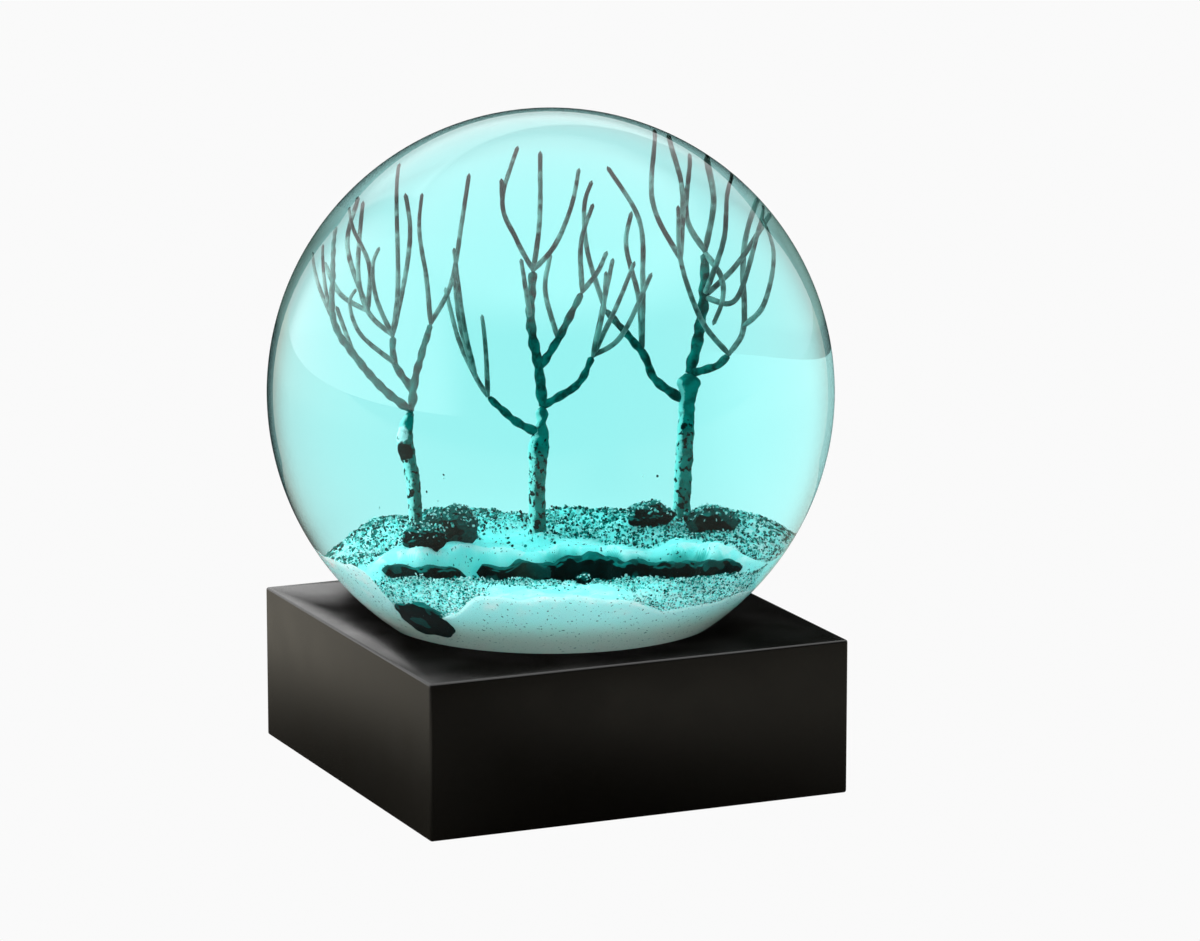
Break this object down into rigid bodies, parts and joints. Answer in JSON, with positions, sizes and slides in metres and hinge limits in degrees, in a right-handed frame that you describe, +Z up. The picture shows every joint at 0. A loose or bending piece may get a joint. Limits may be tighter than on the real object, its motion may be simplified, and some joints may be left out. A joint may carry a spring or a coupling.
{
  "type": "snow globe",
  "caption": "Liquid-filled glass ball on a square black base, with bare wire trees standing on a snowy ledge inside and loose flakes that rise when it is shaken.",
  "frame": {"origin": "centre of the felt pad's underside, on the table", "axes": "+Z up through the ball's centre; X and Y square to the base's sides, -Y the side towards the viewer's right"},
  "size_m": [0.1014, 0.1014, 0.1198],
  "materials": {
    "lacquer": "satin black lacquer over board",
    "raw_board": "raw fibreboard and softwood",
    "zinc_steel": "zinc plated",
    "felt": "black wool felt",
    "clear_glass": "clear polished blown glass",
    "bung_rubber": "moulded black rubber",
    "silicone": "cured clear-white silicone",
    "cast_snow": "white painted cast resin, satin",
    "painted_rock": "dark teal painted cast resin",
    "painted_wire": "grey painted wire",
    "bark_coat": "textured paste coat with dark specks",
    "flakes": "white and dark film flakes",
    "tinted_liquid": "clear cyan-tinted liquid"
  },
  "bodies": {
    "globe": {"front_panel": "lacquer", "right_panel": "lacquer", "back_panel": "lacquer", "left_panel": "lacquer", "top_board": "lacquer", "bottom_board": "raw_board", "corner_block_1": "raw_board", "corner_block_2": "raw_board", "corner_block_3": "raw_board", "corner_block_4": "raw_board", "bottom_screw_1": "zinc_steel", "bottom_screw_2": "zinc_steel", "bottom_screw_3": "zinc_steel", "bottom_screw_4": "zinc_steel", "felt_pad": "felt", "glass_globe": "clear_glass", "rubber_bung": "bung_rubber", "neck_seal": "silicone", "glue_bead": "silicone", "landscape": "cast_snow", "rock_ledge": "painted_rock", "left_rock_ledge": "painted_rock", "boulder_left_back": "painted_rock", "boulder_left_front": "painted_rock", "boulder_right_inner": "painted_rock", "boulder_right_outer": "painted_rock", "pebble_front": "painted_rock", "corner_rock": "painted_rock", "left_tree_wires": "painted_wire", "middle_tree_wires": "painted_wire", "right_tree_wires": "painted_wire", "left_tree_bark": "bark_coat", "middle_tree_bark": "bark_coat", "right_tree_bark": "bark_coat", "settled_flakes": "flakes", "liquid_fill": "tinted_liquid"},
    "flake_1": {"loose_flake_1": "flakes"},
    "flake_2": {"loose_flake_2": "flakes"},
    "flake_3": {"loose_flake_3": "flakes"},
    "flake_4": {"loose_flake_4": "flakes"},
    "flake_5": {"loose_flake_5": "flakes"},
    "flake_6": {"loose_flake_6": "flakes"}
  },
  "joints": [
    {"name": "flake_1_rise", "type": "slide", "parent": "globe", "child": "flake_1", "axis": [0, 0, 1], "range_m": [0, 0.022], "deforming": ["liquid_fill"]},
    {"name": "flake_2_rise", "type": "slide", "parent": "globe", "child": "flake_2", "axis": [0, 0, 1], "range_m": [0, 0.038], "deforming": ["liquid_fill"]},
    {"name": "flake_3_rise", "type": "slide", "parent": "globe", "child": "flake_3", "axis": [0, 0, 1], "range_m": [0, 0.03], "deforming": ["liquid_fill"]},
    {"name": "flake_4_rise", "type": "slide", "parent": "globe", "child": "flake_4", "axis": [0, 0, 1], "range_m": [0, 0.046], "deforming": ["liquid_fill"]},
    {"name": "flake_5_rise", "type": "slide", "parent": "globe", "child": "flake_5", "axis": [0, 0, 1], "range_m": [0, 0.026], "deforming": ["liquid_fill"]},
    {"name": "flake_6_rise", "type": "slide", "parent": "globe", "child": "flake_6", "axis": [0, 0, 1], "range_m": [0, 0.034], "deforming": ["liquid_fill"]}
  ]
}
